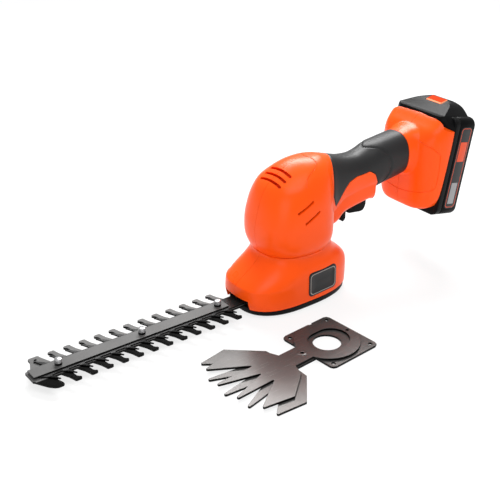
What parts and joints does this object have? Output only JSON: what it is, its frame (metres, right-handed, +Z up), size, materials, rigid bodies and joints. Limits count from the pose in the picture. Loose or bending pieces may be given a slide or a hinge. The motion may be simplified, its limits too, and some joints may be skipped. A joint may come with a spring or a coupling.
{
  "type": "cordless grass shears",
  "caption": "Cordless grass and hedge shears: orange clamshell unit with rubber grip, slide-on battery, fitted toothed hedge blade, and a loose fan-shaped grass-shear blade set.",
  "frame": {"origin": "on the sole's underside, on the drive gear's axis", "axes": "+X towards the battery, blade along -X, +Z up, the operator's left at -Y"},
  "size_m": [0.4525, 0.184, 0.1501],
  "materials": {
    "orange_plastic": "satin moulded plastic",
    "black_plastic": "fine-textured moulded plastic",
    "grip_rubber": "soft matt overmould",
    "blade_steel": "ground plate",
    "bright_steel": "plated",
    "cast_alloy": "as cast",
    "bearing_bronze": "plain",
    "copper": "bare winding",
    "magnet": "dull",
    "cell_can": "sleeved",
    "board": "lacquered",
    "wire": "sleeved",
    "label": "printed film, plain",
    "latch_orange": "satin moulded plastic"
  },
  "bodies": {
    "housing": {"left_housing": "orange_plastic", "right_housing": "orange_plastic", "left_grip": "grip_rubber", "right_grip": "grip_rubber", "left_badge": "label", "right_badge": "label", "housing_screws": "bright_steel", "gear_frame": "cast_alloy", "locating_pins": "bright_steel", "gear_axle": "bright_steel", "axle_clip": "bright_steel", "motor_can": "blade_steel", "motor_magnets": "magnet", "motor_end_cap": "black_plastic", "motor_brushes": "magnet", "motor_bushes": "bearing_bronze", "motor_screws": "bright_steel", "switch_body": "black_plastic", "trigger_spring": "bright_steel", "motor_leads": "wire", "battery_leads": "wire", "battery_receiver": "black_plastic", "receiver_blades": "bearing_bronze", "guard_comb": "blade_steel", "blade_bar": "blade_steel", "blade_bolts": "bright_steel", "blade_nuts": "bright_steel", "blade_spacers": "bright_steel"},
    "sole": {"sole_plate": "black_plastic"},
    "sole_catch": {"sole_latch": "black_plastic"},
    "gear": {"drive_gear": "blade_steel", "crank_disc": "blade_steel", "crank_roller": "bright_steel", "gear_bush": "bearing_bronze"},
    "rotor": {"motor_shaft": "bright_steel", "armature_core": "blade_steel", "armature_windings": "copper", "commutator": "copper", "motor_pinion": "bearing_bronze"},
    "cutter": {"cutter_blade": "blade_steel"},
    "trigger_lever": {"trigger": "black_plastic"},
    "lock_off": {"lock_off_button": "black_plastic"},
    "battery": {"battery_cover": "black_plastic", "battery_tray": "black_plastic", "battery_cells": "cell_can", "cell_straps": "bright_steel", "battery_contacts": "bearing_bronze", "battery_board": "board", "battery_labels": "label"},
    "battery_latch": {"latch_button": "latch_orange"},
    "shear_set": {"shear_comb": "blade_steel", "shear_rivet": "bright_steel"},
    "shear_upper": {"shear_cutter": "blade_steel"}
  },
  "joints": [
    {"name": "cutter_stroke", "type": "slide", "parent": "housing", "child": "cutter", "axis": [1, 0, 0], "range_m": [-0.0035, 0.0035]},
    {"name": "gear_spin", "type": "hinge", "parent": "housing", "child": "gear", "pos_m": [0, 0, 0.0235], "axis": [0, 0, 1], "continuous": true},
    {"name": "rotor_spin", "type": "hinge", "parent": "housing", "child": "rotor", "pos_m": [0.024, 0, 0.055], "axis": [0, 0, 1], "continuous": true},
    {"name": "trigger_press", "type": "slide", "parent": "housing", "child": "trigger_lever", "axis": [0, 0, 1], "range_m": [0, 0.005], "stiffness_N_per_m": 800, "deforming": ["trigger_spring"]},
    {"name": "lock_off_slide", "type": "slide", "parent": "housing", "child": "lock_off", "axis": [-1, 0, 0], "range_m": [0, 0.003], "stiffness_N_per_m": 500},
    {"name": "battery_slide", "type": "slide", "parent": "housing", "child": "battery", "axis": [0.1908, 0, 0.9816], "range_m": [0, 0.11]},
    {"name": "latch_press", "type": "slide", "parent": "battery", "child": "battery_latch", "axis": [-0.1908, 0, -0.9816], "range_m": [0, 0.003], "stiffness_N_per_m": 600},
    {"name": "sole_drop", "type": "slide", "parent": "housing", "child": "sole", "axis": [0, 0, -1], "range_m": [0, 0.04]},
    {"name": "sole_catch_press", "type": "slide", "parent": "housing", "child": "sole_catch", "axis": [-1, 0, 0], "range_m": [0, 0.002], "stiffness_N_per_m": 500},
    {"name": "shear_lift", "type": "slide", "parent": "housing", "child": "shear_set", "axis": [0, 0, 1], "range_m": [0, 0.1]},
    {"name": "shear_swing", "type": "hinge", "parent": "shear_set", "child": "shear_upper", "pos_m": [-0.04839, -0.09353, 0.003], "axis": [0, 0, 1], "range_deg": [-8, 8]}
  ],
  "couplings": [
    {"joint": "rotor_spin", "follows": "gear_spin", "ratio": -4}
  ]
}
